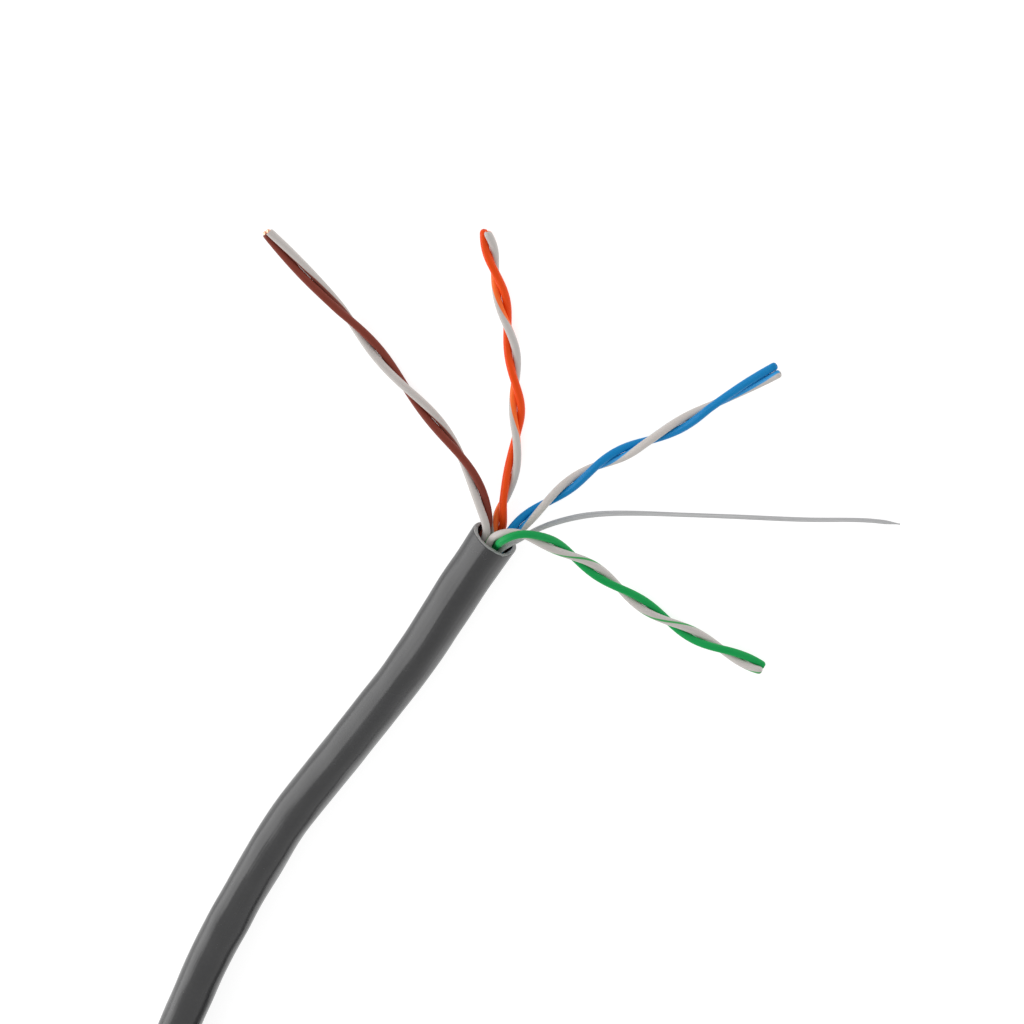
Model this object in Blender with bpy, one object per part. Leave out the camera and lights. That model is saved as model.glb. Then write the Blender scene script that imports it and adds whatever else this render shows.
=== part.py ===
"""Stripped end of a four-pair network cable, with the rest of its length in a tied coil.

Each insulated wire is a solid copper conductor in a plastic sleeve. Two wires twisted
together make a pair, four pairs and a rip cord fill the jacket, and they fan out where
the jacket is cut back. Sizes are in millimetres; MM turns them into Blender's metres.
The cable lies on the plane z = 0, with +Z up.
"""

import math

import bmesh
import bpy
import numpy as np

MM = 0.001

# Wires, in millimetres
CONDUCTOR_DIAMETER = 0.51       # solid copper, 24 gauge
CONDUCTOR_PROUD = 0.3           # copper left standing out of the cut insulation
CORE_GAP = 0.01                 # radial, between the copper and its sleeve
INSULATION_WALL = 0.175
WIRE_GAP = 0.04                 # half the distance between the two wires of a pair
INSULATION_DIAMETER = CONDUCTOR_DIAMETER + 2 * (CORE_GAP + INSULATION_WALL)
STRAND_OFFSET = INSULATION_DIAMETER / 2 + WIRE_GAP
PAIR_RADIUS = STRAND_OFFSET + INSULATION_DIAMETER / 2

# Jacket: four pairs stand round its axis, each touching the next but for a gap
SEAT_GAP = 0.01
BORE_CLEARANCE = 0.1
JACKET_WALL = 0.42
PAIR_SEAT = math.sqrt(2) * PAIR_RADIUS + SEAT_GAP
BORE_RADIUS = PAIR_SEAT + PAIR_RADIUS + BORE_CLEARANCE
JACKET_RADIUS = BORE_RADIUS + JACKET_WALL
PAIR_DEPTH = 9.0                # how far the separate wires reach into the jacket
BORE_DEPTH = PAIR_DEPTH + 0.5
BLUE_SEAT_ANGLE = -10.0         # degrees from the cable's right-hand side, seen from the cut

# Rip cord, in the channel between two pairs and the jacket
RIP_CORD_DIAMETER = 0.6
RIP_CORD_ANGLE = BLUE_SEAT_ANGLE + 45.0
RIP_CORD_GAP = 0.07             # between the cord and the jacket's wall

# Coil: three turns on the ground and two in the grooves above them
COIL_CENTRE = (-13.1, -56.4)
COIL_MEAN_RADIUS = 30.0
COIL_SETTLE = 1.1               # room over the turns for where they cross and pass the tie
COIL_STEPS = 48
ENTRY_POINTS = 8                # points of the jacket's line that run beside or into the coil
TOUCH_GAP = 0.3                 # between solids that meet face to face

# Tie round the coil
TIE_ANGLE = -30.0               # degrees, seen from above
TIE_WIDTH = 3.6
TIE_THICKNESS = 1.1
TIE_HEAD = (5.6, 5.0, 4.2)      # across the strap, along it, and outwards
TIE_TAIL = 2.0                  # left standing out of the head when it was trimmed

# Spacing of the points along each curve, in diameters of what it draws
JACKET_STEP = 1.0
RIP_CORD_STEP = 2.5
POINTS_PER_LAY = 8
FINE_STEPS = 60                 # readings taken of each span of a smooth curve
CUT_OVERRUN = 2.0               # how far a cutting shape runs past the face it opens
MERGE_DISTANCE = 1e-7           # metres

# Centre line of the jacket over the ground, from where it leaves the coil to the cut: (x, y)
COIL_EXIT = (COIL_CENTRE[0] - COIL_MEAN_RADIUS - 2 * JACKET_RADIUS, COIL_CENTRE[1])
JACKET_ROUTE = [
    COIL_EXIT, (-48.9, -46.0), (-48.9, -34.0), (-46.5, -22.0), (-42.8, -13.8), (-38.3, -4.8),
    (-33.3, 4.0), (-26.5, 14.9), (-19.5, 24.1), (-13.0, 32.5), (-5.8, 42.4), (-0.4, 50.7), (3.6, 56.6),
]

# Each pair: its seat's place round the bore, the points that its axis passes outside the
# jacket as (x, y, clearance under the pair), and the distances from the cut at which one
# wire lies exactly over the other, with the coloured wire on top at the first of them.
PAIRS = {
    "green": dict(
        seat=90.0,
        route=[(4.7, 57.4, 3.98), (6.0, 58.1, 4.38), (7.7, 58.3, 4.28), (9.6, 57.4, 3.48),
               (12.6, 54.7, 1.48), (17.9, 50.2, 0.28), (23.9, 46.0, 0.08), (29.4, 43.2, 0.08),
               (35.0, 40.9, 0.38)],
        crossings=[3.8, 10.8, 17.7, 24.7, 31.7, 38.7],
    ),
    "brown": dict(
        seat=180.0,
        route=[(2.3, 60.1, 1.68), (-0.3, 66.0, 0.68), (-6.9, 74.5, 0.08), (-12.8, 82.4, 0.18),
               (-17.7, 88.0, 0.28), (-22.0, 93.2, 0.68)],
        crossings=[11.2, 21.6, 31.9, 50.0],
    ),
    "orange": dict(
        seat=270.0,
        route=[(3.8, 58.4, 0.48), (4.6, 61.2, 0.18), (6.5, 69.7, 0.08), (6.7, 76.5, 0.08),
               (6.3, 82.2, 0.08), (5.3, 88.9, 0.18), (4.5, 94.5, 0.58)],
        crossings=[4.0, 13.3, 20.1, 27.2, 34.0, 39.5],
    ),
    "blue": dict(
        seat=0.0,
        route=[(6.4, 57.9, 0.98), (9.4, 60.5, 0.38), (16.1, 65.8, 0.08), (23.1, 69.7, 0.08),
               (29.2, 73.6, 0.18), (33.3, 76.3, 0.28), (38.0, 79.3, 0.58)],
        crossings=[-1.0, 6.6, 14.5, 21.9, 31.2, 48.0],
    ),
}

# Axis of the rip cord outside the jacket: (x, y, clearance under it)
RIP_CORD_ROUTE = [
    (6.2, 56.4, 3.0), (8.0, 57.2, 1.7), (11.0, 58.2, 0.5), (14.8, 59.1, 0.1), (18.1, 59.5, 0.05),
    (24.9, 59.8, 0.05), (31.7, 60.0, 0.05), (36.7, 60.1, 0.05), (42.1, 60.3, 0.05), (48.1, 60.6, 0.05),
    (51.4, 60.4, 0.05),
]

# Finishes: colour, roughness, metallic
FINISHES = {
    "jacket": ((0.045, 0.045, 0.046), 0.3, 0.0),
    "green": ((0.010, 0.340, 0.084), 0.35, 0.0),
    "brown": ((0.230, 0.050, 0.033), 0.35, 0.0),
    "orange": ((0.95, 0.090, 0.010), 0.35, 0.0),
    "blue": ((0.003, 0.215, 0.520), 0.35, 0.0),
    "white": ((0.57, 0.535, 0.51), 0.4, 0.0),
    "copper": ((0.85, 0.40, 0.25), 0.25, 1.0),
    "rip_cord": ((0.55, 0.55, 0.54), 0.5, 0.0),
    "tie": ((0.68, 0.67, 0.625), 0.4, 0.0),
}


def clear_scene():
    for item in list(bpy.data.objects):
        bpy.data.objects.remove(item, do_unlink=True)


def finish(name):
    """The named Principled material, made once."""
    if name in bpy.data.materials:
        return bpy.data.materials[name]
    colour, roughness, metallic = FINISHES[name]
    material = bpy.data.materials.new(name)
    material.use_nodes = True
    shader = material.node_tree.nodes["Principled BSDF"]
    shader.inputs["Base Color"].default_value = (*colour, 1.0)
    shader.inputs["Roughness"].default_value = roughness
    shader.inputs["Metallic"].default_value = metallic
    return material


def own_finish(item, name):
    """Give an object its own copy of a finish."""
    material = finish(name).copy()
    material.name = item.name
    item.data.materials.clear()
    item.data.materials.append(material)


def smooth_route(points, step):
    """Natural cubic spline through the points, read off at even steps along it."""
    p = np.array(points, float)
    span = np.linalg.norm(np.diff(p, axis=0), axis=1)
    count = len(p)
    system = np.eye(count)
    bend = np.zeros_like(p)
    for i in range(1, count - 1):
        system[i, i - 1:i + 2] = span[i - 1], 2 * (span[i - 1] + span[i]), span[i]
        bend[i] = 6 * ((p[i + 1] - p[i]) / span[i] - (p[i] - p[i - 1]) / span[i - 1])
    curve = np.linalg.solve(system, bend)
    pieces = []
    for i, h in enumerate(span):
        b = np.linspace(0, h, FINE_STEPS, endpoint=i == count - 2)[:, None]
        a = h - b
        cubic = (curve[i] * a ** 3 + curve[i + 1] * b ** 3) / (6 * h)
        linear = (p[i] / h - curve[i] * h / 6) * a + (p[i + 1] / h - curve[i + 1] * h / 6) * b
        pieces.append(cubic + linear)
    fine = np.concatenate(pieces)
    along = distances(fine)
    even = np.linspace(0, along[-1], max(2, round(along[-1] / step) + 1))
    return np.stack([np.interp(even, along, fine[:, k]) for k in range(3)], -1)


def distances(points):
    """Distance of each point along the line from the first."""
    return np.concatenate(([0.0], np.cumsum(np.linalg.norm(np.diff(points, axis=0), axis=1))))


def frames(points):
    """Unit directions at each point: along the line, to its right, and up from it."""
    ahead = np.gradient(points, axis=0)
    ahead /= np.linalg.norm(ahead, axis=1)[:, None]
    right = np.cross(ahead, (0.0, 0.0, 1.0))
    right /= np.linalg.norm(right, axis=1)[:, None]
    return ahead, right, np.cross(right, ahead)


def add(name, data, finish_name=None):
    item = bpy.data.objects.new(name, data)
    bpy.context.collection.objects.link(item)
    if finish_name:
        own_finish(item, finish_name)
    return item


def tube(name, points, radius, finish_name, detail=2, capped=True):
    """Round bar along the points, as a curve with a bevel."""
    curve = bpy.data.curves.new(name, "CURVE")
    curve.dimensions = "3D"
    curve.bevel_depth = radius * MM
    curve.bevel_resolution = detail
    curve.use_fill_caps = capped
    spline = curve.splines.new("POLY")
    spline.points.add(len(points) - 1)
    for point, place in zip(spline.points, points):
        point.co = (*(place * MM), 1.0)
    return add(name, curve, finish_name)


def as_mesh(item):
    """Replace a curve object by the closed mesh that it draws."""
    evaluated = item.evaluated_get(bpy.context.evaluated_depsgraph_get())
    mesh = bpy.data.meshes.new_from_object(evaluated)
    merge_and_orient(mesh)
    name, curve = item.name, item.data
    bpy.data.objects.remove(item, do_unlink=True)
    bpy.data.curves.remove(curve)
    return add(name, mesh)


def merge_and_orient(mesh):
    work = bmesh.new()
    work.from_mesh(mesh)
    bmesh.ops.remove_doubles(work, verts=work.verts, dist=MERGE_DISTANCE)
    bmesh.ops.recalc_face_normals(work, faces=work.faces)
    work.to_mesh(mesh)
    work.free()


def boolean(item, other, operation):
    """Combine the object with a helper shape, which is then left out of the model."""
    other.hide_render = True
    other.display_type = "WIRE"
    step = item.modifiers.new(other.name, "BOOLEAN")
    step.operation = operation
    step.solver = "EXACT"
    step.object = other


def cut(item, cutter):
    """Take the cutter's shape out of the object."""
    boolean(item, cutter, "DIFFERENCE")


def jacket_line(step):
    """Centre line of the cable where it isn't coiled, from the coil to the cut."""
    return smooth_route([(x, y, JACKET_RADIUS) for x, y in JACKET_ROUTE], step)


def seat_line(angle, radius, depth):
    """Four points inside the jacket, at an angle and a radius from its axis, ending at the cut."""
    line = jacket_line(BORE_RADIUS / 4)
    _, right, up = frames(line)
    turn = math.radians(angle)
    inside = (line + radius * (math.cos(turn) * right + math.sin(turn) * up))[::-1]
    from_cut = distances(line[::-1])
    marks = np.linspace(depth, 0.0, 4)
    return list(np.stack([np.interp(marks, from_cut, inside[:, k]) for k in range(3)], -1))


def pair_strands(pair):
    """Centre lines of the coloured wire and of its white mate."""
    seat = seat_line(BLUE_SEAT_ANGLE + pair["seat"], PAIR_SEAT, PAIR_DEPTH)
    outside = [(x, y, clearance + PAIR_RADIUS) for x, y, clearance in pair["route"]]
    crossings = pair["crossings"]
    lay = 2 * min(np.diff(crossings))
    axis = smooth_route(seat + outside, lay / POINTS_PER_LAY)
    _, right, up = frames(axis)
    from_cut = distances(axis) - PAIR_DEPTH
    half_turns = np.interp(from_cut, crossings, np.arange(len(crossings)))
    half_turns += np.minimum(from_cut - crossings[0], 0.0) / (lay / 2)
    angle = (math.pi / 2 + math.pi * half_turns)[:, None]
    offset = STRAND_OFFSET * (np.cos(angle) * right + np.sin(angle) * up)
    return axis + offset, axis - offset


def beyond(points, length):
    """Point past the end of the line, straight on."""
    end = points[-1] - points[-2]
    return points[-1] + end / np.linalg.norm(end) * length


def wire(name, points, finish_name):
    """Insulated wire: a sleeve, and the copper conductor that stands a little out of it."""
    sleeve = tube("insulation_" + name, points, INSULATION_DIAMETER / 2, finish_name, capped=False)
    wall = sleeve.modifiers.new("wall", "SOLIDIFY")
    wall.thickness = INSULATION_WALL * MM
    wall.offset = -1.0
    core = np.vstack((points, beyond(points, CONDUCTOR_PROUD)))
    tube("conductor_" + name, core, CONDUCTOR_DIAMETER / 2, "copper")


def make_pairs():
    for colour, pair in PAIRS.items():
        coloured, white = pair_strands(pair)
        wire(colour, coloured, colour)
        wire("white_" + colour, white, "white")


def make_rip_cord():
    radius = RIP_CORD_DIAMETER / 2
    seat_radius = BORE_RADIUS - RIP_CORD_GAP - BORE_CLEARANCE - radius
    inside = seat_line(RIP_CORD_ANGLE, seat_radius, PAIR_DEPTH)
    outside = [(x, y, clearance + radius) for x, y, clearance in RIP_CORD_ROUTE]
    line = smooth_route(inside + outside, RIP_CORD_STEP * RIP_CORD_DIAMETER)
    tube("rip_cord", line, radius, "rip_cord")


def make_jacket():
    """Jacket of the uncoiled stretch, bored out from the cut as far as the wires reach."""
    line = jacket_line(JACKET_STEP * 2 * JACKET_RADIUS)
    jacket = as_mesh(tube("jacket", line, JACKET_RADIUS, None, detail=4))
    own_finish(jacket, "jacket")
    bore_line = np.array(seat_line(0.0, 0.0, BORE_DEPTH))
    bore_line = np.vstack((bore_line, beyond(bore_line, CUT_OVERRUN)))
    cut(jacket, as_mesh(tube("jacket_bore", bore_line, BORE_RADIUS, None, detail=4)))
    return line


def arc(centre, radius, start, end, steps):
    """Points (r, z) on an arc, angles in degrees."""
    turn = np.radians(np.linspace(start, end, steps + 1))
    return [(centre[0] + radius * math.cos(a), centre[1] + radius * math.sin(a)) for a in turn]


def coil_rows():
    """Centres (r, z) of the outermost and innermost turns of both layers."""
    pitch = 2 * JACKET_RADIUS
    low = JACKET_RADIUS
    high = low + pitch * math.sin(math.radians(60)) + COIL_SETTLE
    return dict(
        low_out=(COIL_MEAN_RADIUS + pitch, low), high_out=(COIL_MEAN_RADIUS + pitch / 2, high),
        high_in=(COIL_MEAN_RADIUS - pitch / 2, high), low_in=(COIL_MEAN_RADIUS - pitch, low),
    )


def coil_outline(grow=0.0):
    """Outline (r, z) of the bundle of turns, anticlockwise, pushed out by grow."""
    rows = coil_rows()
    radius = JACKET_RADIUS + grow
    return (
        arc(rows["low_out"], radius, -90, 30, 4) + arc(rows["high_out"], radius, 30, 90, 2)
        + arc(rows["high_in"], radius, 90, 150, 2) + arc(rows["low_in"], radius, 150, 270, 4)
    )


def place_in_coil(r, z, angle, across=0.0):
    """Point at radius r and height z over the coil's centre, moved sideways along its turns."""
    a = math.radians(angle)
    x = COIL_CENTRE[0] + r * math.cos(a) - across * math.sin(a)
    y = COIL_CENTRE[1] + r * math.sin(a) + across * math.cos(a)
    return (x * MM, y * MM, z * MM)


def make_coil(jacket):
    """Turned ring of the coil's outer shape, grooved for the cable that enters and for the tie."""
    work = bmesh.new()
    verts = [work.verts.new(place_in_coil(r, z, 0.0)) for r, z in coil_outline()]
    edges = [work.edges.new((a, b)) for a, b in zip(verts, verts[1:] + verts[:1])]
    centre = (COIL_CENTRE[0] * MM, COIL_CENTRE[1] * MM, 0.0)
    bmesh.ops.spin(
        work, geom=verts + edges, cent=centre, axis=(0, 0, 1), angle=2 * math.pi,
        steps=COIL_STEPS, use_merge=True,
    )
    bmesh.ops.remove_doubles(work, verts=work.verts, dist=MERGE_DISTANCE)
    bmesh.ops.recalc_face_normals(work, faces=work.faces)
    mesh = bpy.data.meshes.new("cable_coil")
    work.to_mesh(mesh)
    work.free()
    coil = add("cable_coil", mesh, "jacket")

    inward = jacket[::-1]
    channel = np.vstack((inward[-ENTRY_POINTS:], beyond(inward, TOUCH_GAP)))
    cut(coil, as_mesh(tube("entry_channel", channel, JACKET_RADIUS + TOUCH_GAP, None, detail=4)))

    rows = coil_rows()
    low_in = rows["low_in"][0] - JACKET_RADIUS - CUT_OVERRUN
    low_out = rows["low_out"][0] + JACKET_RADIUS + CUT_OVERRUN
    roof = TIE_THICKNESS + TOUCH_GAP
    cut(coil, block("tie_notch", low_in, low_out, -CUT_OVERRUN, roof, TIE_WIDTH / 2 + TOUCH_GAP))


def block(name, r_in, r_out, bottom, top, half_width):
    """Box across the coil's turns at the tie's place."""
    work = bmesh.new()
    bmesh.ops.create_cube(work, size=1.0)
    for vert in work.verts:
        r = r_in if vert.co.x < 0 else r_out
        z = bottom if vert.co.z < 0 else top
        vert.co = place_in_coil(r, z, TIE_ANGLE, half_width if vert.co.y > 0 else -half_width)
    bmesh.ops.recalc_face_normals(work, faces=work.faces)
    mesh = bpy.data.meshes.new(name)
    work.to_mesh(mesh)
    work.free()
    return add(name, mesh)


def make_tie():
    """Nylon tie: a strap round the turns, its head on their outside, and a trimmed tail."""
    inner = [(r, max(z, TIE_THICKNESS)) for r, z in coil_outline(TOUCH_GAP)]
    outer = [(r, max(z, 0.0)) for r, z in coil_outline(TOUCH_GAP + TIE_THICKNESS)]
    half = TIE_WIDTH / 2
    work = bmesh.new()
    sides = []
    for outline, across in ((inner, -half), (inner, half), (outer, half), (outer, -half)):
        sides.append([work.verts.new(place_in_coil(r, z, TIE_ANGLE, across)) for r, z in outline])
    for near, far in zip(sides, sides[1:] + sides[:1]):
        for i in range(len(near)):
            work.faces.new((near[i - 1], near[i], far[i], far[i - 1]))
    bmesh.ops.recalc_face_normals(work, faces=work.faces)
    mesh = bpy.data.meshes.new("cable_tie")
    work.to_mesh(mesh)
    work.free()
    tie = add("cable_tie", mesh, "tie")

    face = coil_rows()["low_out"][0] + JACKET_RADIUS + TOUCH_GAP + TIE_THICKNESS
    width, height, depth = TIE_HEAD
    low = (coil_rows()["high_out"][1] + coil_rows()["low_out"][1]) / 2 - height / 2
    sunk = TIE_THICKNESS / 2
    join(tie, block("tie_head", face - sunk, face + depth, low, low + height, width / 2))
    slot = face + depth / 2
    tail_top = low + height + TIE_TAIL
    join(tie, block("tie_tail", slot - sunk, slot + sunk, low + sunk, tail_top, half))


def join(item, other):
    """Make the other shape part of the object."""
    boolean(item, other, "UNION")


def main():
    clear_scene()
    line = make_jacket()
    make_coil(line)
    make_tie()
    make_pairs()
    make_rip_cord()


main()
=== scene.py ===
"""Looks of a stripped four-pair network cable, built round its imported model.

A metre of grey cable lies on a pale table. Its jacket is cut back at one end, where the four
twisted pairs and the rip cord fan out. The rest of it is wound in a coil held by a nylon tie.
Every length is in metres, and +Z is up from the table.
"""

import math

import bmesh
import bpy
import numpy as np
from mathutils import Matrix, Vector


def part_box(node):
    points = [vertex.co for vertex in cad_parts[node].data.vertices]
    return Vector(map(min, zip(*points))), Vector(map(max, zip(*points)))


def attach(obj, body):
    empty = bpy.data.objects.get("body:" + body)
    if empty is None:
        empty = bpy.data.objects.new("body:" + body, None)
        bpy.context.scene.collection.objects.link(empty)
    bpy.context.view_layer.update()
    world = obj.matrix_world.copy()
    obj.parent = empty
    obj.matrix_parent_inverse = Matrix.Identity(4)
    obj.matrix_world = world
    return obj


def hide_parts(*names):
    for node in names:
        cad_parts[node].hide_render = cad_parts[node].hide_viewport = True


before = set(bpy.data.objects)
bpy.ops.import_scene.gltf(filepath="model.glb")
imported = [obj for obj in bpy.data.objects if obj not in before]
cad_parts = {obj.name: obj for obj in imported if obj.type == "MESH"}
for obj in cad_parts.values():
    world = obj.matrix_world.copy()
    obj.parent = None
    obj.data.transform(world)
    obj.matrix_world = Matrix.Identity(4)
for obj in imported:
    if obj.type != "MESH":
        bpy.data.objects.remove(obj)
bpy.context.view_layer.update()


# ---------------------------------------------------------------- camera
# A long lens looks down on the stripped end. It leans over towards the side that the wires
# point to, so that the mouth of the jacket can be seen.

up = Vector((0.0, 0.0, 1.0))
mouth_heading = Vector((0.556, 0.831, 0.0)).normalized()
lens_lean = math.radians(30.0)
lens_distance = 0.404
aim = Vector((0.0049, 0.0586, 0.0))

lean = Matrix.Rotation(lens_lean, 4, up.cross(mouth_heading))
camera = bpy.data.objects.new("camera", bpy.data.cameras.new("camera"))
camera.data.sensor_width = 36.0
camera.data.lens = 120.0
camera.data.clip_start = 0.01
camera.matrix_world = Matrix.Translation(aim + lean @ (up * lens_distance)) @ lean
bpy.context.scene.collection.objects.link(camera)
bpy.context.scene.camera = camera


# ---------------------------------------------------------------- cable
# Round grey PVC jacket, pulled tight over four twisted pairs, so that they show through it as
# slow lumps. The knife left a matt, slightly slanted rim. One metre of it: a free stretch,
# and five turns of coil, three on the table and two in the grooves above them.

jacket_low, jacket_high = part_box("jacket")
jacket_radius = (jacket_high.z - jacket_low.z) / 2
jacket_wall = 0.00042
bore_radius = jacket_radius - jacket_wall
bore_depth = 0.0095
cable_length = 1.0
cable_route = [
    (-0.0486, -0.0564), (-0.0489, -0.046), (-0.0489, -0.034), (-0.0465, -0.022),
    (-0.0428, -0.0138), (-0.0383, -0.0048), (-0.0333, 0.004), (-0.0265, 0.0149),
    (-0.0195, 0.0241), (-0.013, 0.0325), (-0.0058, 0.0424), (-0.0004, 0.0507), (0.0036, 0.0566),
]
coil_centre = (-0.0131, -0.0564)
coil_radius = 0.03              # of the middle of the three lower turns
turn_pitch = 2 * jacket_radius
tie_angle = math.radians(-30.0)
tie_lift = 0.00112              # the turns ride over the strap of the tie
tie_lift_reach = (math.radians(8.0), math.radians(42.0))


def smooth_line(points, step):
    """Natural cubic spline through the points, read off at even steps along it."""
    p = np.array(points, float)
    span = np.linalg.norm(np.diff(p, axis=0), axis=1)
    count = len(p)
    system = np.eye(count)
    bend = np.zeros_like(p)
    for i in range(1, count - 1):
        system[i, i - 1:i + 2] = span[i - 1], 2 * (span[i - 1] + span[i]), span[i]
        bend[i] = 6 * ((p[i + 1] - p[i]) / span[i] - (p[i] - p[i - 1]) / span[i - 1])
    curve = np.linalg.solve(system, bend)
    pieces = []
    for i, h in enumerate(span):
        b = np.linspace(0, h, 60, endpoint=i == count - 2)[:, None]
        a = h - b
        cubic = (curve[i] * a ** 3 + curve[i + 1] * b ** 3) / (6 * h)
        linear = (p[i] / h - curve[i] * h / 6) * a + (p[i + 1] / h - curve[i + 1] * h / 6) * b
        pieces.append(cubic + linear)
    return even_steps(np.concatenate(pieces), step)


def distances(line):
    """Distance of each point along the line from the first."""
    return np.concatenate(([0.0], np.cumsum(np.linalg.norm(np.diff(line, axis=0), axis=1))))


def even_steps(line, step):
    along = distances(line)
    even = np.linspace(0, along[-1], max(2, round(along[-1] / step) + 1))
    return at(line, along, even)


def at(line, along, where):
    """Points, or directions, of a line at the given distances along it."""
    return np.stack([np.interp(where, along, line[:, k]) for k in range(3)], -1)


def unit(vectors):
    return vectors / np.linalg.norm(vectors, axis=-1)[..., None]


def frames(line):
    """Unit directions at each point: along the line, to its right, and up from it."""
    ahead = unit(np.gradient(line, axis=0))
    right = unit(np.cross(ahead, (0.0, 0.0, 1.0)))
    return ahead, right, np.cross(right, ahead)


def ease(value, low, high):
    """Smooth step from 0 at low to 1 at high."""
    t = np.clip((value - low) / (high - low), 0, 1)
    return t * t * (3 - 2 * t)


def coil_line(turns):
    """Centre line of the wound cable, at a number of turns from where it enters the coil."""
    part = turns - np.floor(turns)
    shift = turn_pitch * ease(part, 5 / 6, 1)
    lower = coil_radius + turn_pitch * (1 - np.floor(turns)) - shift
    climb = ease(turns, 2 + 4 / 6, 2 + 5 / 6) + ease(turns, 3 + 4 / 6, 3 + 5 / 6)
    roll = math.pi - math.radians(60) * climb
    upper = coil_radius + turn_pitch * np.cos(roll)
    over = np.sqrt(turn_pitch ** 2 - (shift - turn_pitch / 2) ** 2)
    rise = np.where((part > 5 / 6) & (climb > 0), over, turn_pitch * np.sin(roll))
    radius = np.where(climb > 0, upper, lower)
    angle = math.pi * (1 + 2 * turns)
    from_tie = np.abs((angle - tie_angle + math.pi) % (2 * math.pi) - math.pi)
    over_tie = tie_lift * (1 - ease(from_tie, *tie_lift_reach))
    height = jacket_radius + np.where(climb > 0, rise, 0.0) + over_tie
    x = coil_centre[0] + radius * np.cos(angle)
    y = coil_centre[1] + radius * np.sin(angle)
    return np.stack((x, y, height), -1)


free_line = smooth_line([(x, y, jacket_radius) for x, y in cable_route], 0.0005)[::-1]
wound = even_steps(coil_line(np.linspace(0, 4.8, 4801)), 0.0005)
cable_line = np.vstack((free_line, wound[1:]))
cable_line = cable_line[distances(cable_line) <= cable_length]
_, cable_side, cable_up = frames(cable_line)


def rolled(name, line, side, along, across, rise):
    """Closed skin rolled round a line, from a flat grid.

    along, across and rise have one row for each row of the grid: how far down the line its
    points lie, how far out to the side, and how far out square to that. The UV map holds
    the part of the way round, from 0 to 1, and the distance along the line in metres.
    """
    rows, points = np.broadcast_shapes(along.shape, across.shape, rise.shape)
    along, across, rise = (np.broadcast_to(a, (rows, points)) for a in (along, across, rise))
    sheet = bmesh.new()
    sheet.loops.layers.uv.new("UVMap")
    bmesh.ops.create_grid(
        sheet, x_segments=points - 1, y_segments=rows - 1, size=0.5, calc_uvs=True
    )
    mesh = bpy.data.meshes.new(name)
    sheet.to_mesh(mesh)
    sheet.free()

    marks = distances(line)
    centre = at(line, marks, along)
    ahead = unit(at(frames(line)[0], marks, along))
    out = at(side, marks, along)
    out = unit(out - ahead * np.sum(out * ahead, -1, keepdims=True))
    above = np.cross(out, ahead)
    place = centre + out * across[..., None] + above * rise[..., None]
    mesh.vertices.foreach_set("co", place.reshape(-1))
    spots = np.empty(len(mesh.loops) * 2)
    mesh.uv_layers[0].data.foreach_get("uv", spots)
    spots = spots.reshape(-1, 2)
    row = np.rint(spots[:, 1] * (rows - 1)).astype(int)
    column = np.rint(spots[:, 0] * (points - 1)).astype(int)
    spots[:, 1] = along[row, column]
    mesh.uv_layers[0].data.foreach_set("uv", spots.reshape(-1))

    skin = bmesh.new()
    skin.from_mesh(mesh)
    bmesh.ops.remove_doubles(skin, verts=skin.verts, dist=1e-7)
    bmesh.ops.holes_fill(skin, edges=[e for e in skin.edges if e.is_boundary], sides=0)
    bmesh.ops.recalc_face_normals(skin, faces=skin.faces)
    skin.to_mesh(mesh)
    skin.free()
    mesh.shade_smooth()
    mesh.set_sharp_from_angle(angle=math.radians(40))
    item = bpy.data.objects.new(name, mesh)
    bpy.context.scene.collection.objects.link(item)
    return item


def turn(points):
    """Angles of the grid's columns, once round the line."""
    return np.linspace(0, 2 * math.pi, points + 1)[None, :]


def stack(*groups):
    """Rows of (distance along, radius, share of the cut's slant and raggedness)."""
    return np.vstack([np.array(group, float).reshape(-1, 3) for group in groups])


def ripple(seed, along, angle, wavelengths, height):
    """Slow random waves over a tube: each has its own wavelength, count round and phase."""
    draw = np.random.default_rng(seed)
    total = 0.0
    for _ in range(14):
        wavelength = draw.uniform(*wavelengths)
        phase = draw.uniform(0, 2 * math.pi)
        total = total + np.cos(2 * math.pi * along / wavelength + draw.integers(-3, 4) * angle + phase)
    return total * height / math.sqrt(14)


class Pattern:
    """A value that changes over a surface. A sum on it adds the Math nodes of that sum."""

    def __init__(self, finish, socket):
        self.finish = finish
        self.socket = socket

    def maths(self, operation, *values):
        return self.finish.node("Math", dict(enumerate(values)), operation=operation)

    def __add__(self, other):
        return self.maths("ADD", self, other)

    __radd__ = __add__

    def __mul__(self, other):
        return self.maths("MULTIPLY", self, other)

    __rmul__ = __mul__

    def __sub__(self, other):
        return self.maths("SUBTRACT", self, other)

    def __rsub__(self, other):
        return self.maths("SUBTRACT", other, self)

    def __abs__(self):
        return self.maths("ABSOLUTE", self)

    def step(self, low, high):
        """Smooth step from 0 at low to 1 at high, which may be the lower of the two."""
        ends = {"Value": self, "From Min": low, "From Max": high}
        return self.finish.node("MapRange", ends, interpolation_type="SMOOTHSTEP")


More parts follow.
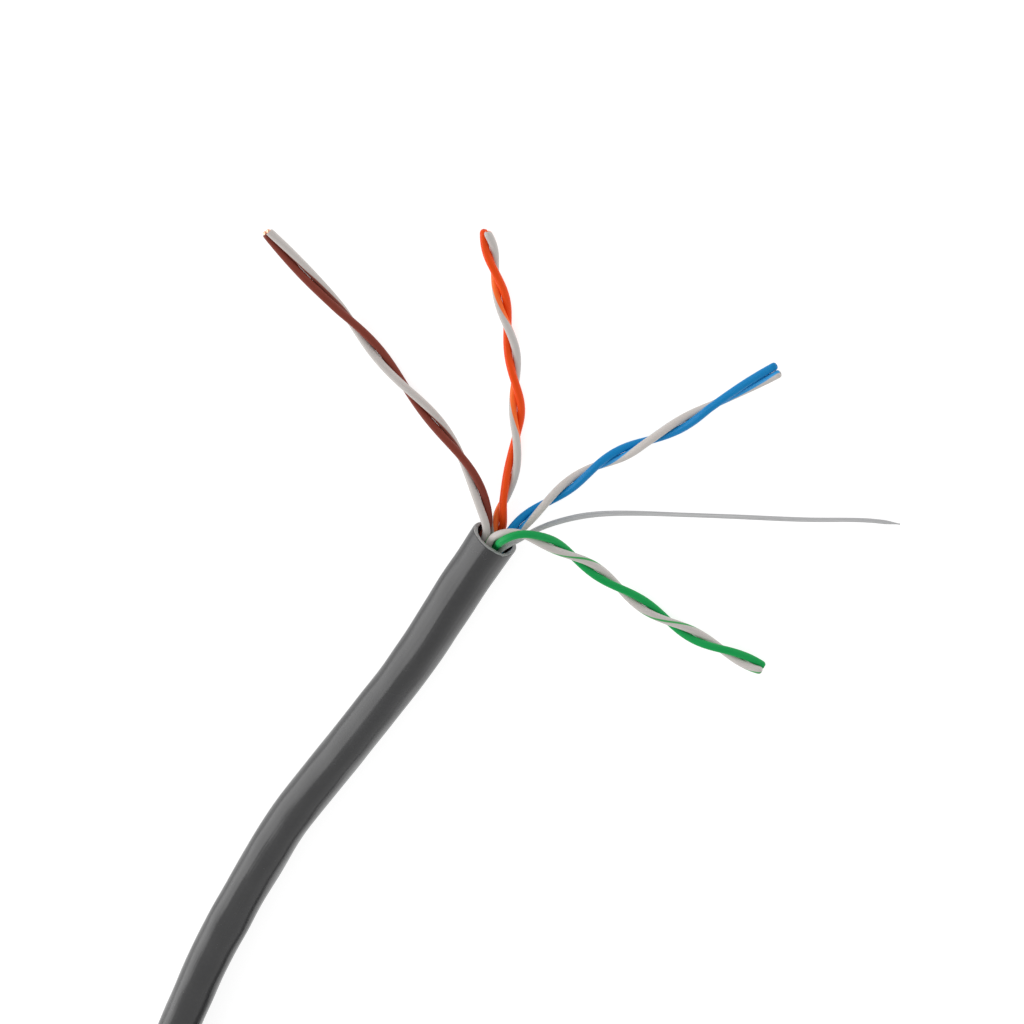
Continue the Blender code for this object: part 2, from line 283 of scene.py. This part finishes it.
class Finish:
    """A material: one Principled shader, and whatever nodes feed it."""

    def __init__(self, name, **even):
        self.material = bpy.data.materials.new(name)
        self.material.use_nodes = True
        self.tree = self.material.node_tree
        self.surface = self.tree.nodes["Principled BSDF"]
        for socket, value in even.items():
            self.surface.inputs[socket.replace("_", " ")].default_value = value

    def node(self, kind, inputs=(), output=0, **settings):
        """Any other node: its settings come first, then the values or links of its sockets."""
        made = self.tree.nodes.new("ShaderNode" + kind)
        for setting, value in settings.items():
            setattr(made, setting, value)
        for socket, value in dict(inputs).items():
            self.feed(made.inputs[socket], value)
        return Pattern(self, made.outputs[output])

    def feed(self, socket, value):
        if isinstance(value, Pattern):
            self.tree.links.new(value.socket, socket)
        else:
            socket.default_value = value

    def varies(self, **patterns):
        for socket, pattern in patterns.items():
            self.feed(self.surface.inputs[socket.replace("_", " ")], pattern)

    def place(self):
        return self.node("TexCoord", output="Object")

    def round_and_along(self):
        """How far round the line a point is, in turns, and how far along it, in metres."""
        spot = self.node("UVMap", uv_map="UVMap")
        parts = {"Vector": spot}
        return self.node("SeparateXYZ", parts, "X"), self.node("SeparateXYZ", parts, "Y")

    def grain(self, size, detail=3.0, roughness=0.5, at=None):
        """Noise of the given size, about 0 to 1."""
        inputs = {"Scale": 1 / size, "Detail": detail, "Roughness": roughness}
        return self.node("TexNoise", {"Vector": at or self.place(), **inputs})

    def drawn(self, width, length):
        """Noise stretched along the line, as a die leaves on plastic that is drawn through it."""
        turns, metres = self.round_and_along()
        swing = turns * (2 * math.pi)
        spot = {
            "X": swing.maths("COSINE", swing) * (1 / width),
            "Y": swing.maths("SINE", swing) * (1 / width),
            "Z": metres * (1 / length),
        }
        return self.grain(1.0, at=self.node("CombineXYZ", spot))

    def mix(self, mask, under, over):
        return self.node("Mix", {0: mask, 6: under, 7: over}, 2, data_type="RGBA")

    def bump(self, height, depth, normal=None):
        inputs = {"Height": height, "Distance": depth, "Strength": 1.0}
        if normal:
            inputs["Normal"] = normal
        return self.node("Bump", inputs)

    def on(self, item):
        item.data.materials.clear()
        item.data.materials.append(self.material)


jacket_grey = Finish("jacket_pvc", Specular_IOR_Level=0.5)
cloud = jacket_grey.grain(0.012)
die_marks = jacket_grey.drawn(0.18, 0.03)
specks = jacket_grey.grain(0.0006, detail=5.0)
scuff = jacket_grey.drawn(0.025, 0.03).step(0.68, 0.76) * cloud.step(0.45, 0.7)
grey = jacket_grey.mix(cloud, (0.031, 0.031, 0.0320, 1), (0.041, 0.041, 0.0422, 1))
grey = jacket_grey.mix(specks.step(0.35, 0.75) * 0.2, grey, (0.052, 0.052, 0.053, 1))
grey = jacket_grey.mix(scuff * 0.3, grey, (0.11, 0.11, 0.11, 1))
pvc_bump = jacket_grey.bump(die_marks, 0.00003)
jacket_grey.varies(
    Base_Color=grey,
    Roughness=0.20 + cloud * 0.06 + specks * 0.06 + scuff * 0.2,
    Normal=jacket_grey.bump(specks, 0.000003, pvc_bump),
)

rim_grey = Finish("jacket_cut_rim", Roughness=0.62)
drag = rim_grey.grain(0.0002, detail=5.0)
rim_grey.varies(
    Base_Color=rim_grey.mix(drag, (0.23, 0.23, 0.23, 1), (0.42, 0.42, 0.415, 1)),
    Normal=rim_grey.bump(drag, 0.00006),
)

end = distances(cable_line)[-1]
edge = 0.00009                  # rounding of the rim's edges
far_bore_depth = 0.0012
near_steps = np.concatenate((
    np.arange(0.0002, 0.003, 0.0002),
    np.arange(0.003, 0.13, 0.0004),
    np.arange(0.13, end - 0.001, 0.001),
))
sides = 48
rows = stack(
    [(bore_depth, bore_radius, 0), (0.003, bore_radius, 0), (0.001, bore_radius, 0.7)],
    [(edge, bore_radius, 1), (0, bore_radius + edge, 1), (0, jacket_radius - edge, 1)],
    [(edge, jacket_radius - edge / 4, 1), (2 * edge, jacket_radius, 1)],
    [(s, jacket_radius, max(0.0, 1 - s / 0.0012)) for s in near_steps + 2 * edge],
    [(end - edge, jacket_radius, 0), (end, jacket_radius - edge, 0)],
    [(end, bore_radius + edge, 0), (end - edge, bore_radius, 0), (end - far_bore_depth, bore_radius, 0)],
)
angle = turn(sides)
along = rows[:, :1]
radius = rows[:, 1:2]
is_skin = ease(radius, bore_radius + 2 * edge, jacket_radius - 2 * edge)
lumps = ripple(5, along, angle, (0.006, 0.02), 0.00004) + ripple(9, along, angle, (0.02, 0.07), 0.00006)
lay_ridges = 0.00007 * np.cos(4 * angle - 2 * math.pi * along / 0.19 - math.radians(50))
radius = radius + is_skin * (lumps + lay_ridges)
# The knife left the rim a little ragged, and tore it on one side.
tears = np.random.default_rng(11).uniform(0, 1, sides)
torn_side = np.exp(-((angle - math.radians(138)) / 0.35) ** 2)
ragged = np.append(tears, tears[0]) * (0.00005 + 0.0004 * torn_side)
cut_shape = 0.0001 * (1 + np.sin(angle)) + ragged
along = np.clip(along + rows[:, 2:] * cut_shape, 0, end)
cable = rolled("cable", cable_line, cable_side, along, radius * np.cos(angle), radius * np.sin(angle))
for vert in cable.data.vertices:
    vert.co.z = max(vert.co.z, 0.00001)     # it has settled flat where it rests
jacket_grey.on(cable)
cable.data.materials.append(rim_grey.material)
rim_depth = 0.0013
for face in cable.data.polygons:
    at_cut = (Vector(face.center) - Vector(cable_line[0])).dot(mouth_heading) > -rim_depth
    face.material_index = 1 if at_cut and face.normal.dot(mouth_heading) > 0.35 else 0

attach(cable, "root")
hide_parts("jacket", "cable_coil")


# ---------------------------------------------------------------- insulated wires
# Four twisted pairs. Each wire is a copper conductor in a thin plastic sleeve: a coloured one
# and its white mate, which carries a stripe of the same colour. Cutters nipped their ends.

wire_radius = 0.000472
core_radius = 0.000255
strand_offset = 0.00048
pair_radius = 0.00092
pair_seat = math.sqrt(2) * pair_radius + 0.00001
pair_depth = 0.009
blue_seat_angle = -10.0
wire_step = 0.00025
wire_sides = 20

# For each pair: where it sits in the jacket, in degrees; the route of its axis from the cut, as
# (x, y, clearance under it); how far along one wire lies right over the other; how far the
# copper stands out of its sleeve; and its colours, with the stripe's place and half its width.
pairs = {
    "green": dict(
        seat=90.0,
        route=[
            (0.0047, 0.0574, 0.00398), (0.006, 0.0581, 0.00438), (0.0077, 0.0583, 0.00428),
            (0.0096, 0.0574, 0.00348), (0.0126, 0.0547, 0.00148), (0.0179, 0.0502, 0.00028),
            (0.0239, 0.046, 0.00008), (0.0294, 0.0432, 0.00008), (0.035, 0.0409, 0.00038),
        ],
        crossings=[0.0038, 0.0108, 0.0177, 0.0247, 0.0317, 0.0387],
        proud=-0.0003,
        colour=(0.006, 0.345, 0.080, 1),
        stripe=(0.03, 0.36, 0.08, 1),
        stripe_place=180.0,
        stripe_width=0.045,
    ),
    "brown": dict(
        seat=180.0,
        route=[
            (0.0023, 0.0601, 0.00168), (-0.0003, 0.066, 0.00068), (-0.0069, 0.0745, 0.00008),
            (-0.0128, 0.0824, 0.00018), (-0.0177, 0.088, 0.00028), (-0.022, 0.0932, 0.00068),
        ],
        crossings=[0.0112, 0.0216, 0.0319, 0.05],
        proud=0.0003,
        colour=(0.215, 0.042, 0.026, 1),
        stripe=(0.22, 0.045, 0.025, 1),
        stripe_place=-35.0,
        stripe_width=0.07,
    ),
    "orange": dict(
        seat=270.0,
        route=[
            (0.0038, 0.0584, 0.00048), (0.0046, 0.0612, 0.00018), (0.0065, 0.0697, 0.00008),
            (0.0067, 0.0765, 0.00008), (0.0063, 0.0822, 0.00008), (0.0053, 0.0889, 0.00018),
            (0.0045, 0.0945, 0.00058),
        ],
        crossings=[0.004, 0.0133, 0.0201, 0.0272, 0.034, 0.0395],
        proud=-0.0003,
        colour=(0.90, 0.075, 0.004, 1),
        stripe=(1.0, 0.15, 0.004, 1),
        stripe_place=45.0,
        stripe_width=0.19,
    ),
    "blue": dict(
        seat=0.0,
        route=[
            (0.0064, 0.0579, 0.00098), (0.0094, 0.0605, 0.00038), (0.0161, 0.0658, 0.00008),
            (0.0231, 0.0697, 0.00008), (0.0292, 0.0736, 0.00018), (0.0333, 0.0763, 0.00028),
            (0.038, 0.0793, 0.00058),
        ],
        crossings=[-0.001, 0.0066, 0.0145, 0.0219, 0.0312, 0.048],
        proud=-0.0003,
        colour=(0.003, 0.215, 0.520, 1),
        stripe=(0.002, 0.30, 0.68, 1),
        stripe_place=-40.0,
        stripe_width=0.10,
    ),
}


def seat_line(degrees, radius, depth):
    """Four points inside the jacket, at an angle and a radius from its axis, ending at the cut."""
    line = smooth_line([(x, y, jacket_radius) for x, y in cable_route], bore_radius / 4)
    _, right, above = frames(line)
    swing = math.radians(degrees)
    inside = (line + radius * (math.cos(swing) * right + math.sin(swing) * above))[::-1]
    return list(at(inside, distances(line[::-1]), np.linspace(depth, 0.0, 4)))


def strands(pair):
    """Centre lines of the coloured wire and of its white mate, twisted round the pair's axis."""
    seat = seat_line(blue_seat_angle + pair["seat"], pair_seat, pair_depth)
    outside = [(x, y, clearance + pair_radius) for x, y, clearance in pair["route"]]
    crossings = pair["crossings"]
    lay = 2 * min(np.diff(crossings))
    axis = smooth_line(seat + outside, wire_step)
    _, right, above = frames(axis)
    from_cut = distances(axis) - pair_depth
    half_turns = np.interp(from_cut, crossings, np.arange(len(crossings)))
    half_turns += np.minimum(from_cut - crossings[0], 0.0) / (lay / 2)
    swing = (math.pi / 2 + math.pi * half_turns)[:, None]
    offset = strand_offset * (np.cos(swing) * right + np.sin(swing) * above)
    return axis + offset, axis - offset


def plastic(name, colour, stripe=None, stripe_place=0.0, stripe_width=0.0):
    """Satin polyethylene. A stripe may run along it, some degrees round from its mate."""
    finish = Finish(name, Specular_IOR_Level=0.14)
    cloud = finish.grain(0.004)
    marks = finish.drawn(0.3, 0.012)
    pits = finish.grain(0.00025, detail=4.0)
    deep = tuple(0.80 * c for c in colour[:3]) + (1,)
    pale = tuple(min(1.0, 1.10 * c + 0.004) for c in colour[:3]) + (1,)
    paint = finish.mix(cloud * 0.6 + marks * 0.4, deep, pale)
    if stripe:
        turns, metres = finish.round_and_along()
        wander = (finish.drawn(0.5, 0.003) - 0.5) * 0.05
        round_from = turns - stripe_place / 360 + 1.5
        from_line = abs(round_from.maths("FRACT", round_from) - 0.5) + wander
        ink = from_line.step(stripe_width + 0.02, stripe_width - 0.02)
        paint = finish.mix(ink * (0.88 + marks * 0.12), paint, stripe)
    finish.varies(
        Base_Color=paint,
        Roughness=0.26 + cloud * 0.10 + pits * 0.08,
        Normal=finish.bump(pits, 0.000006, finish.bump(marks, 0.00002)),
    )
    return finish


copper = Finish("copper", Metallic=1.0)
pull = copper.drawn(0.12, 0.006)
shear = copper.grain(0.00008, detail=4.0)
copper.varies(
    Base_Color=copper.mix(pull, (0.86, 0.42, 0.26, 1), (0.95, 0.60, 0.44, 1)),
    Roughness=0.22 + shear * 0.2,
    Normal=copper.bump(pull + shear * 0.5, 0.00001),
)


def insulated_wire(name, line, towards_mate, finish, proud):
    """A sleeve, nipped by the cutters at its end, and its conductor, which may stand out of it."""
    reach = distances(line)[-1]
    lip = 0.00004
    nip = 0.0006
    angle = turn(wire_sides)
    if proud > 0:
        cut = [(lip, 1.0), (0, 0.92), (0, 0.63), (lip, 0.59)]
    else:
        cut = [(0.00028, 0.97), (0.00016, 0.88), (0.00006, 0.72), (0, 0.5)]
        cut += [(0, 0.2), (0.0001, 0.2), (0.0002, 0.59)]
    rows = stack(
        [(s, wire_radius, 0) for s in np.arange(0, reach - nip, wire_step)],
        [(s, wire_radius, 0) for s in np.linspace(reach - nip, reach - 0.0004, 4)],
        [(reach - back, part * wire_radius, 0) for back, part in cut],
        [(reach - 0.001, core_radius + lip / 2, 0)],
    )
    along, radius = rows[:, :1], rows[:, 1:2]
    pinch = ease(along, reach - nip, reach)
    cut_slant = 0.12 * pinch * radius * np.sin(angle)
    sleeve = rolled(
        "sleeve_" + name, line, towards_mate, along - cut_slant,
        radius * (1 + 0.05 * pinch) * np.cos(angle), radius * (1 - 0.07 * pinch) * np.sin(angle),
    )
    finish.on(sleeve)
    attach(sleeve, "root")
    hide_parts("insulation_" + name)

    core_line = np.vstack((line, line[-1] + unit(line[-1] - line[-2]) * 0.001))
    core_side = np.vstack((towards_mate, towards_mate[-1:]))
    tip = reach + proud
    rows = stack(
        [(s, core_radius, 0) for s in np.arange(0, tip - 0.0006, 0.0005)],
        [(tip - 0.0003, core_radius, 0), (tip - 0.00018, core_radius, 0.15)],
        [(tip - 0.00007, core_radius * 0.98, 0.6), (tip, core_radius * 0.9, 1)],
    )
    along, radius, pinch = rows[:, :1], rows[:, 1:2], rows[:, 2:]
    angle = turn(16)
    core = rolled(
        "core_" + name, core_line, core_side, along,
        radius * (1 + 0.12 * pinch) * np.cos(angle), radius * (1 - 0.62 * pinch) * np.sin(angle),
    )
    copper.on(core)
    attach(core, "root")
    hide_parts("conductor_" + name)


warm_white = (0.59, 0.553, 0.527, 1)
wire_finishes = {}
for colour, pair in pairs.items():
    coloured, white = strands(pair)
    to_white = unit(white - coloured)
    wire_finishes[colour] = plastic("plastic_" + colour, pair["colour"])
    wire_finishes["white_" + colour] = plastic(
        "plastic_white_" + colour, warm_white, pair["stripe"], pair["stripe_place"], pair["stripe_width"]
    )
    insulated_wire(
        colour, coloured, to_white, wire_finishes[colour], pair["proud"]
    )
    insulated_wire(
        "white_" + colour, white, -to_white, wire_finishes["white_" + colour],
        pair["proud"],
    )


# ---------------------------------------------------------------- rip cord
# Flat ribbon of clear fibres that runs under the jacket, to tear it open. It comes out beside
# the blue pair, lies on the table, and thins towards the end where it was snapped.

rip_width = 0.0007
rip_thickness = 0.00018
rip_route = [
    (0.0062, 0.0564, 0.003), (0.008, 0.0572, 0.0017), (0.011, 0.0582, 0.0005),
    (0.0148, 0.0591, 0.0001), (0.0181, 0.0595, 0.00005), (0.0249, 0.0598, 0.00005),
    (0.0317, 0.06, 0.00005), (0.0367, 0.0601, 0.00005), (0.0421, 0.0603, 0.00005),
    (0.0481, 0.0606, 0.00005), (0.0514, 0.0604, 0.00005),
]
cad_rip_radius = 0.0003
rip_seat_radius = bore_radius - 0.00017 - cad_rip_radius
rip_inside = seat_line(blue_seat_angle + 45.0, rip_seat_radius, pair_depth)
rip_outside = [(x, y, clearance + cad_rip_radius) for x, y, clearance in rip_route]
rip_line = smooth_line(rip_inside + rip_outside, 0.0003)
rip_length = distances(rip_line)[-1]
_, rip_right, rip_up = frames(rip_line)
rip_marks = distances(rip_line)
rip_tilt = np.radians(22 + 22 * np.sin(rip_marks / 0.0065) - 12 * ease(rip_marks, 0.01, 0.03))
rip_side = rip_right * np.cos(rip_tilt)[:, None] + rip_up * np.sin(rip_tilt)[:, None]

angle = turn(28)
along = np.append(np.arange(0, rip_length, 0.0003), rip_length)[:, None]
snapped = ease(along, rip_length - 0.002, rip_length)
taper = 1.0 - 0.30 * ease(along, 0.015, rip_length) - 0.5 * snapped
fibres = 1 + 0.10 * np.cos(9 * angle + along / 0.002) + ripple(21, along, angle, (0.002, 0.006), 0.05)
flat_x = np.sign(np.cos(angle)) * np.abs(np.cos(angle)) ** 0.7
rip_cord = rolled(
    "rip_cord_ribbon", rip_line, rip_side, along,
    rip_width / 2 * taper * flat_x, rip_thickness / 2 * taper * fibres * np.sin(angle),
)
clear_fibre = Finish(
    "clear_fibre", Specular_IOR_Level=0.5, Transmission_Weight=0.15, IOR=1.45,
)
threads = clear_fibre.drawn(0.06, 0.02)
haze = clear_fibre.grain(0.003)
clear_fibre.varies(
    Base_Color=clear_fibre.mix(threads.step(0.3, 0.7), (0.44, 0.44, 0.45, 1), (0.70, 0.70, 0.70, 1)),
    Roughness=0.30 + haze * 0.25,
    Normal=clear_fibre.bump(threads, 0.00004),
)
clear_fibre.on(rip_cord)
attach(rip_cord, "root")
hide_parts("rip_cord")


# ---------------------------------------------------------------- far end of the cable
# The other end is cut flush, and shows the ends of the eight wires and of the rip cord inside
# the jacket. They lie as short lengths in the mouth of a shallow bore.

far_end = cable_line[-1]
far_ahead = unit(cable_line[-1] - cable_line[-2])
far_side, far_up = cable_side[-1], cable_up[-1]
far_twist = math.radians(25.0)


def far_stub(name, centre, radius, finish, hole=0.0):
    """Short round length that ends flush with the cut, at a place beside the cable's axis."""
    base = far_end + far_side * centre[0] + far_up * centre[1]
    line = np.stack([base + far_ahead * s for s in (-0.0011, -0.0006, -0.0001, -0.00002)])
    side = np.tile(far_side, (4, 1))
    reach = distances(line)[-1]
    lip = 0.00003
    rows = [(0, radius, 0), (reach - lip, radius, 0), (reach, radius - lip, 0)]
    if hole:
        rows += [(reach, hole + lip, 0), (reach - 0.0004, hole, 0)]
    rows = stack(rows)
    angle = turn(24)
    along, radius = rows[:, :1], rows[:, 1:2]
    stub = rolled(name, line, side, along, radius * np.cos(angle), radius * np.sin(angle))
    finish.on(stub)
    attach(stub, "root")


for colour, pair in pairs.items():
    seat = math.radians(pair["seat"]) + far_twist
    pair_centre = pair_seat * np.array((math.cos(seat), math.sin(seat)))
    lie = seat * 1.7
    for name, way in ((colour, 1), ("white_" + colour, -1)):
        centre = pair_centre + way * strand_offset * np.array((math.cos(lie), math.sin(lie)))
        far_stub(
            "far_sleeve_" + name, centre, wire_radius, wire_finishes[name],
            hole=core_radius,
        )
        far_stub("far_core_" + name, centre, core_radius - 0.000004, copper)
rip_seat = far_twist + math.radians(45.0)
far_stub(
    "far_rip_cord", rip_seat_radius * np.array((math.cos(rip_seat), math.sin(rip_seat))), 0.0002,
    clear_fibre,
)


# ---------------------------------------------------------------- cable tie
# One-piece nylon tie. Its strap leaves the head, runs over the turns, down inside the coil and
# back under them, and up through the slot of the head, where its tail was cut short.

strap_width = 0.0036
strap_thickness = 0.0010
tooth_pitch = 0.0011
tooth_depth = 0.00022
head_size = (0.0056, 0.0050, 0.0042)    # across the strap, along it, and outwards
head_gap = 0.0014                       # from the outermost turn to the head's back
tail_length = 0.002

low_z = jacket_radius + tie_lift
high_z = low_z + turn_pitch * math.sin(math.radians(60))
outer_low = coil_radius + turn_pitch
strap_radius = jacket_radius + 0.00006 + strap_thickness / 2
head_back = outer_low + jacket_radius + head_gap
head_low = (low_z + high_z) / 2 - tie_lift - head_size[1] / 2
slot_r = head_back + head_size[2] / 2


def turn_outline(r, z, start, stop):
    """Points (r, z) of the strap round one turn of the cable, between two angles in degrees."""
    count = int(abs(stop - start) // 20) + 1
    swing = np.radians(np.linspace(start, stop, count + 1))
    return [(r + strap_radius * math.cos(a), z + strap_radius * math.sin(a)) for a in swing]


strap_outline = (
    [(head_back + 0.0003, head_low + 0.0012), (head_back - 0.0007, head_low + 0.0027)]
    + [(outer_low + 0.0013, head_low + 0.0047)]
    + turn_outline(coil_radius + turn_pitch / 2, high_z, 30, 90)
    + turn_outline(coil_radius - turn_pitch / 2, high_z, 90, 150)
    + turn_outline(coil_radius - turn_pitch, low_z, 150, 270)
    + [(coil_radius, low_z - strap_radius), (outer_low, low_z - strap_radius)]
    + [(slot_r - 0.0024, low_z - strap_radius), (slot_r - 0.0007, low_z - strap_radius + 0.0008)]
    + [(slot_r, head_low), (slot_r, head_low + head_size[1] / 2)]
    + [(slot_r, head_low + head_size[1] + tail_length)]
)


def beside_coil(r, z, across=0.0):
    """Point at the tie, at a distance from the coil's centre, a height, and a way along its turns."""
    out = np.array((math.cos(tie_angle), math.sin(tie_angle), 0.0))
    along_turns = np.array((-math.sin(tie_angle), math.cos(tie_angle), 0.0))
    return np.array((*coil_centre, z)) + out * r + along_turns * across


strap_line = smooth_line([beside_coil(r, z) for r, z in strap_outline], 0.0001)
strap_line[:, 2] = np.maximum(strap_line[:, 2], strap_thickness / 2 + 0.00002)
strap_side = np.tile(np.array((-math.sin(tie_angle), math.cos(tie_angle), 0.0)), (len(strap_line), 1))
strap_length = distances(strap_line)[-1]
angle = turn(40)
along = np.append(np.arange(0, strap_length, tooth_pitch / 4), strap_length)[:, None]
flat_x = np.sign(np.cos(angle)) * np.abs(np.cos(angle)) ** 0.3
flat_y = np.sign(np.sin(angle)) * np.abs(np.sin(angle)) ** 0.3
in_ladder = ease(np.abs(flat_x), 0.62, 0.54) * (np.sin(angle) > 0.3)
notch = tooth_depth * in_ladder * (0.5 - 0.5 * np.cos(2 * math.pi * along / tooth_pitch))
strap = rolled(
    "tie_strap", strap_line, strap_side, along,
    strap_width / 2 * flat_x, strap_thickness / 2 * flat_y - notch,
)

nylon = Finish("nylon", Specular_IOR_Level=0.5, Subsurface_Weight=0.15, Subsurface_Scale=0.001)
milk = nylon.grain(0.006)
mould = nylon.grain(0.0004, detail=5.0)
nylon.varies(
    Base_Color=nylon.mix(milk, (0.62, 0.61, 0.56, 1), (0.74, 0.73, 0.69, 1)),
    Roughness=0.30 + mould * 0.18,
    Normal=nylon.bump(mould, 0.00002),
)

head = bmesh.new()
bmesh.ops.create_cube(head, size=1.0)
bmesh.ops.scale(head, vec=(head_size[0], head_size[2], head_size[1]), verts=head.verts)
ends = [f for f in head.faces if abs(f.normal.z) > 0.5]
slot_faces = []
for face in ends:
    bmesh.ops.inset_region(head, faces=[face], thickness=0.0009, use_even_offset=True)
    for vert in face.verts:
        vert.co.x *= (strap_width + 0.0003) / (head_size[0] - 0.0018)
        vert.co.y *= (strap_thickness + 0.0004) / (head_size[2] - 0.0018)
    slot_faces.append(face)
rims = [edge for face in slot_faces for edge in face.edges]
bmesh.ops.delete(head, geom=slot_faces, context="FACES_ONLY")
bmesh.ops.bridge_loops(head, edges=rims)
corners = [e for e in head.edges if e.is_manifold and e.calc_face_angle() > 1.0]
bmesh.ops.bevel(
    head, geom=corners, offset=0.00028, offset_type="OFFSET", segments=4, profile=0.5,
    affect="EDGES", material=-1, clamp_overlap=True,
)
bmesh.ops.recalc_face_normals(head, faces=head.faces)
if head.calc_volume(signed=True) < 0:       # the slot through the head can turn its skin round
    bmesh.ops.reverse_faces(head, faces=head.faces)
pawl = bmesh.ops.create_cube(head, size=1.0)["verts"]
bmesh.ops.scale(head, vec=(strap_width * 0.55, 0.00035, head_size[1] * 0.5), verts=pawl)
bmesh.ops.rotate(head, cent=(0, 0, 0), matrix=Matrix.Rotation(math.radians(9), 3, "X"), verts=pawl)
bmesh.ops.translate(head, vec=(0, strap_thickness / 2 + 0.0003, 0.0004), verts=pawl)
head_centre = Vector(beside_coil(slot_r, head_low + head_size[1] / 2))
turned = Matrix.Rotation(tie_angle - math.pi / 2, 4, "Z")
head.transform(Matrix.Translation(head_centre) @ turned)
head_mesh = bpy.data.meshes.new("tie_head")
head.to_mesh(head_mesh)
head.free()
head_mesh.shade_smooth()
head_mesh.set_sharp_from_angle(angle=math.radians(35))
tie_head = bpy.data.objects.new("tie_head", head_mesh)
bpy.context.scene.collection.objects.link(tie_head)

for piece in (strap, tie_head):
    nylon.on(piece)
    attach(piece, "root")
    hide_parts("cable_tie")


# ---------------------------------------------------------------- table and light
# A wide table of lit white glass, which leaves hardly any shadow. One tall soft panel stands on
# the cable's left, among pale walls under a darker ceiling.

table = bmesh.new()
bmesh.ops.create_grid(table, x_segments=1, y_segments=1, size=6.0)
table_mesh = bpy.data.meshes.new("table")
table.to_mesh(table_mesh)
table.free()
table_top = bpy.data.objects.new("table", table_mesh)
bpy.context.scene.collection.objects.link(table_top)
white_top = Finish(
    "white_table", Roughness=0.9, Specular_IOR_Level=0.1,
    Emission_Color=(1, 1, 1, 1), Emission_Strength=0.85,
)
white_top.varies(Base_Color=(0.30, 0.30, 0.30, 1))
white_top.on(table_top)

left = up.cross(mouth_heading)
panel_size = (0.8, 1.1)
panel_brightness = 2.2
panel = bpy.data.lights.new("panel", "AREA")
panel.shape = "RECTANGLE"
panel.size, panel.size_y = panel_size
panel.energy = panel_brightness * math.pi * panel_size[0] * panel_size[1]
panel_place = bpy.data.objects.new("panel", panel)
panel_centre = aim + left * 0.5 - mouth_heading * 0.55 + up * (panel_size[1] / 2 + 0.01)
facing = left.to_track_quat("Z", "Y").to_matrix().to_4x4()
panel_place.matrix_world = Matrix.Translation(panel_centre) @ facing
panel_place.visible_camera = False
bpy.context.scene.collection.objects.link(panel_place)

room = bpy.data.worlds.new("room")
room.use_nodes = True
wall_light = room.node_tree.nodes["Background"]
direction = room.node_tree.nodes.new("ShaderNodeTexCoord")
height = room.node_tree.nodes.new("ShaderNodeSeparateXYZ")
fade = room.node_tree.nodes.new("ShaderNodeMapRange")
fade.inputs["From Min"].default_value = 0.0
fade.inputs["From Max"].default_value = 0.85
fade.inputs["To Min"].default_value = 1.1
fade.inputs["To Max"].default_value = 0.6
wall_light.inputs["Color"].default_value = (1.0, 1.0, 1.0, 1)
room.node_tree.links.new(direction.outputs["Generated"], height.inputs["Vector"])
room.node_tree.links.new(height.outputs["Z"], fade.inputs["Value"])
room.node_tree.links.new(fade.outputs["Result"], wall_light.inputs["Strength"])
bpy.context.scene.world = room
bpy.context.scene.view_settings.view_transform = "Standard"
